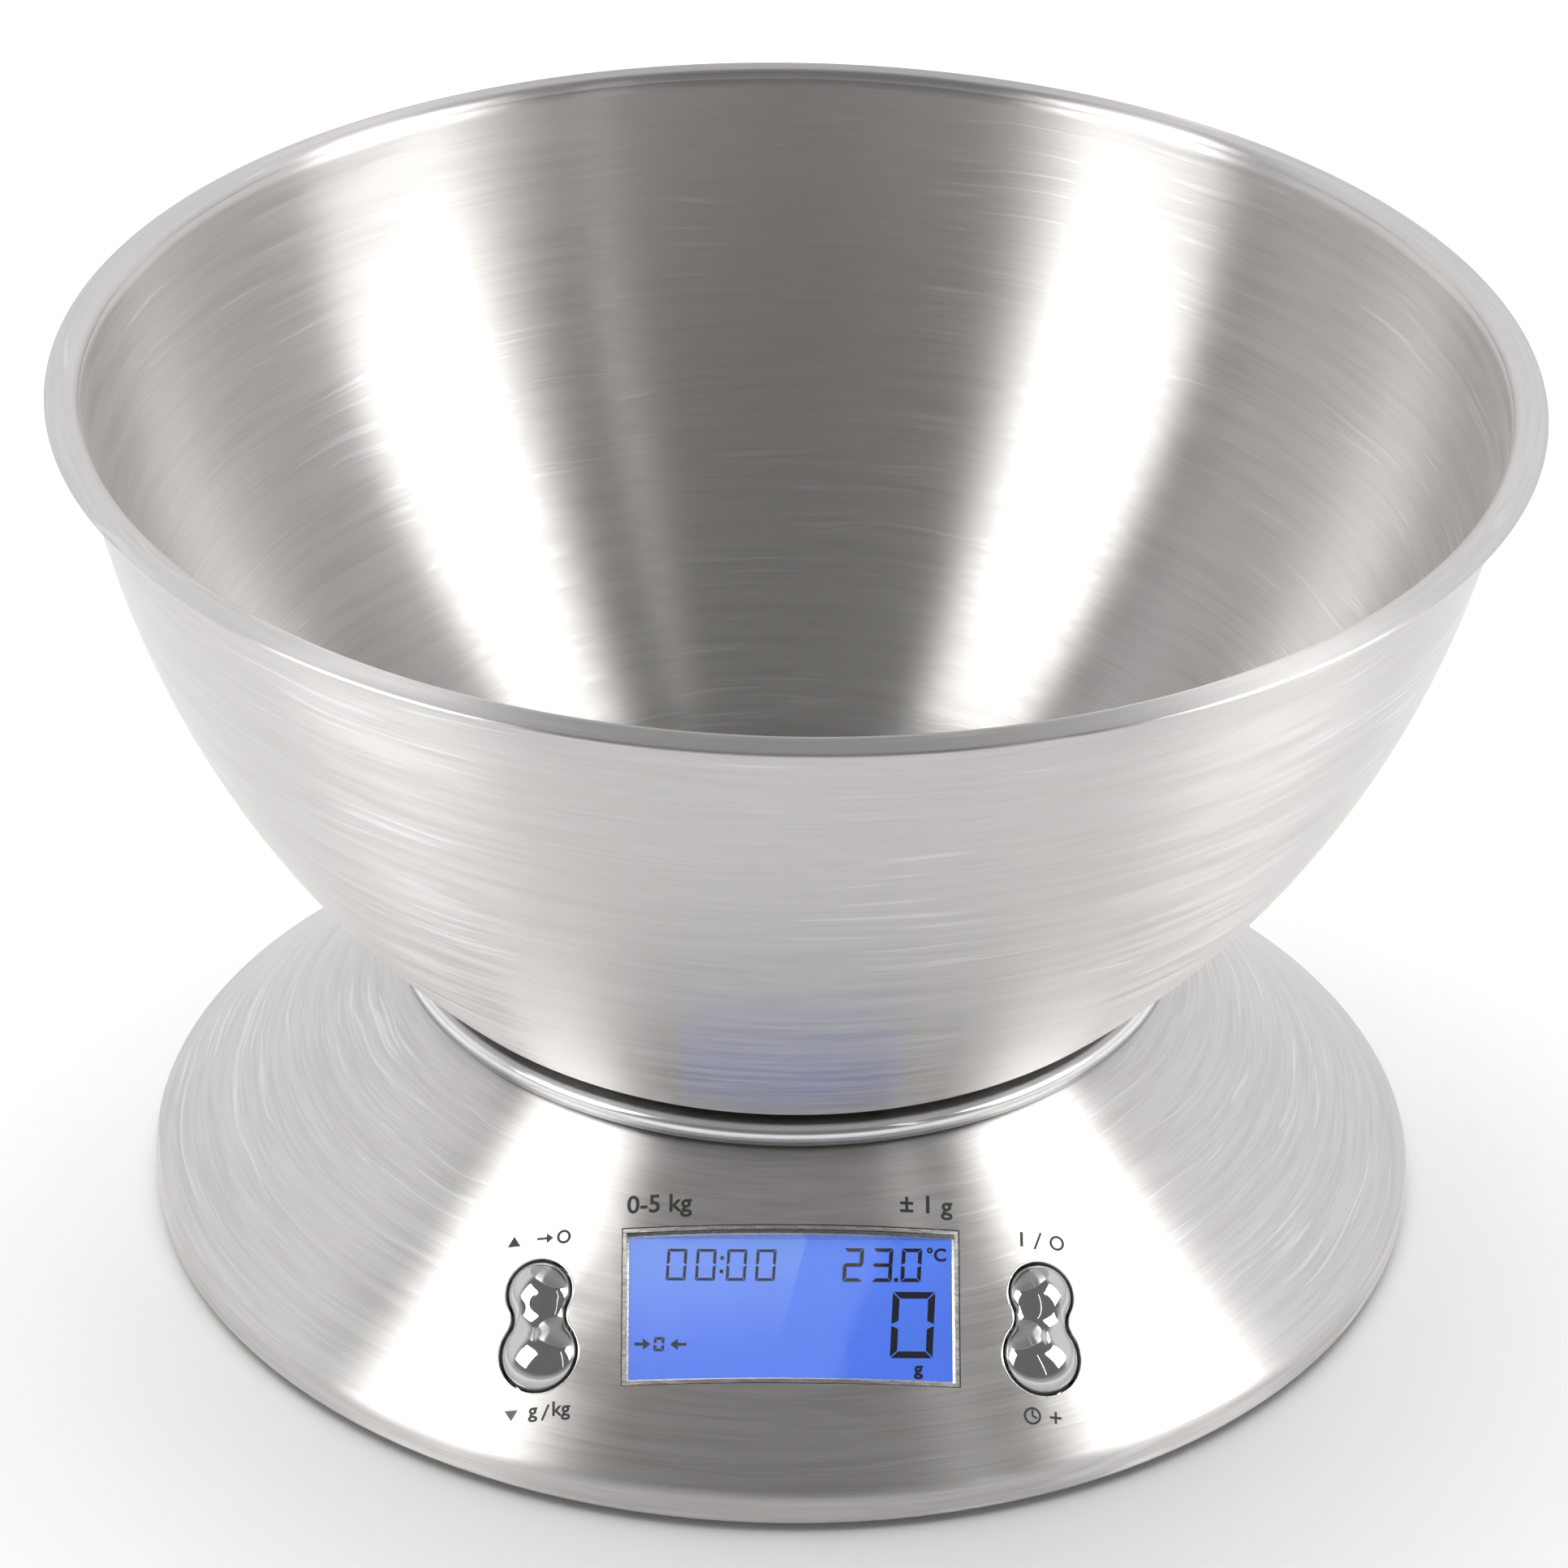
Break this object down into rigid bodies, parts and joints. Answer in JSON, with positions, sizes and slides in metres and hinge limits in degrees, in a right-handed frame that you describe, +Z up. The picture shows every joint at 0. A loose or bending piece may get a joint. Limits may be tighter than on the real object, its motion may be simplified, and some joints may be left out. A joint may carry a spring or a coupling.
{
  "type": "kitchen scale with bowl",
  "caption": "Round digital kitchen scale: a brushed conical base with a blue display and two rocker keys, and a lift-off mixing bowl on a polished dish.",
  "frame": {"origin": "on the table, under the middle of the base", "axes": "+Z up; the display faces -Y, and +X is to its right as the user reads it"},
  "size_m": [0.216, 0.216, 0.1359],
  "materials": {
    "brushed_cover": "brushed",
    "brushed_bowl": "brushed",
    "polished_dish": "polished",
    "rocker_chrome": "polished",
    "housing_plastic": "moulded",
    "tray_plastic": "moulded",
    "frame_plastic": "moulded",
    "bezel_plastic": "silver painted",
    "foot_rubber": "matte",
    "window_clear": "clear",
    "lcd_blue": "gloss",
    "backlight_white": "satin",
    "connector_rubber": "matte",
    "board_green": "solder mask",
    "steel_screw": "zinc plated",
    "chip_black": "epoxy",
    "component_tan": "ceramic",
    "buzzer_black": "moulded",
    "bead_orange": "epoxy",
    "switch_body": "moulded",
    "plunger_black": "moulded",
    "cell_aluminium": "extruded",
    "spacer_steel": "plain",
    "gauge_film": "film",
    "sealant_white": "matte",
    "wire_white": "vinyl",
    "wire_red": "vinyl",
    "wire_black": "vinyl",
    "battery_jacket": "printed film",
    "spring_steel": "nickel plated",
    "contact_plate": "nickel plated"
  },
  "bodies": {
    "base": {"base_cover": "brushed_cover", "upper_housing": "housing_plastic", "bottom_tray": "tray_plastic", "rubber_feet": "foot_rubber", "housing_screws": "steel_screw", "display_bezel": "bezel_plastic", "display_window": "window_clear", "lcd_glass": "lcd_blue", "lcd_backlight": "backlight_white", "lcd_connector": "connector_rubber", "main_board": "board_green", "display_screws": "steel_screw", "controller_chip": "chip_black", "board_components": "component_tan", "buzzer": "buzzer_black", "temperature_sensor": "bead_orange", "key_boards": "board_green", "key_board_screws": "steel_screw", "tact_switches": "switch_body", "load_cell": "cell_aluminium", "load_cell_spacer": "spacer_steel", "load_cell_screws": "steel_screw", "strain_gauges": "gauge_film", "gauge_sealant": "sealant_white", "load_cell_lead": "wire_white", "battery_lead_plus": "wire_red", "battery_lead_minus": "wire_black", "key_leads": "wire_white", "batteries": "battery_jacket", "battery_springs": "spring_steel", "battery_contacts": "contact_plate"},
    "platform": {"platform_frame": "frame_plastic", "platform_dish": "polished_dish", "platform_spacer": "spacer_steel", "platform_screws": "steel_screw"},
    "bowl": {"bowl": "brushed_bowl"},
    "tare_rocker": {"tare_rocker": "rocker_chrome"},
    "power_rocker": {"power_rocker": "rocker_chrome"},
    "tare_plunger_upper": {"tare_plunger_upper": "plunger_black"},
    "tare_plunger_lower": {"tare_plunger_lower": "plunger_black"},
    "power_plunger_upper": {"power_plunger_upper": "plunger_black"},
    "power_plunger_lower": {"power_plunger_lower": "plunger_black"},
    "battery_door": {"battery_door": "tray_plastic"}
  },
  "joints": [
    {"name": "platform_deflection", "type": "slide", "parent": "base", "child": "platform", "axis": [0, 0, 1], "range_m": [-0.0004, 0], "stiffness_N_per_m": 98000},
    {"name": "bowl_lift", "type": "slide", "parent": "platform", "child": "bowl", "axis": [0, 0, 1], "range_m": [0, 0.06]},
    {"name": "tare_rocker_tilt", "type": "hinge", "parent": "base", "child": "tare_rocker", "pos_m": [-0.03499, -0.06978, 0.01571], "axis": [0.9574, -0.1736, 0.2307], "range_deg": [-2, 2], "stiffness_Nm_per_rad": 0.9},
    {"name": "tare_plunger_upper_travel", "type": "slide", "parent": "base", "child": "tare_plunger_upper", "axis": [-0.2887, -0.5758, 0.7649], "range_m": [-0.0002, 0.0002]},
    {"name": "tare_plunger_lower_travel", "type": "slide", "parent": "base", "child": "tare_plunger_lower", "axis": [-0.2887, -0.5758, 0.7649], "range_m": [-0.0002, 0.0002]},
    {"name": "power_rocker_tilt", "type": "hinge", "parent": "base", "child": "power_rocker", "pos_m": [0.03499, -0.06978, 0.01571], "axis": [0.9574, 0.1736, -0.2307], "range_deg": [-2, 2], "stiffness_Nm_per_rad": 0.9},
    {"name": "power_plunger_upper_travel", "type": "slide", "parent": "base", "child": "power_plunger_upper", "axis": [0.2887, -0.5758, 0.7649], "range_m": [-0.0002, 0.0002]},
    {"name": "power_plunger_lower_travel", "type": "slide", "parent": "base", "child": "power_plunger_lower", "axis": [0.2887, -0.5758, 0.7649], "range_m": [-0.0002, 0.0002]},
    {"name": "battery_door_hinge", "type": "hinge", "parent": "base", "child": "battery_door", "pos_m": [0, 0.05916, 0.0025], "axis": [1, 0, 0], "range_deg": [0, 95]}
  ],
  "couplings": [
    {"joint": "tare_plunger_upper_travel", "follows": "tare_rocker_tilt", "m_per_rad": 0.0055},
    {"joint": "tare_plunger_lower_travel", "follows": "tare_rocker_tilt", "m_per_rad": -0.0055},
    {"joint": "power_plunger_upper_travel", "follows": "power_rocker_tilt", "m_per_rad": 0.0055},
    {"joint": "power_plunger_lower_travel", "follows": "power_rocker_tilt", "m_per_rad": -0.0055}
  ]
}
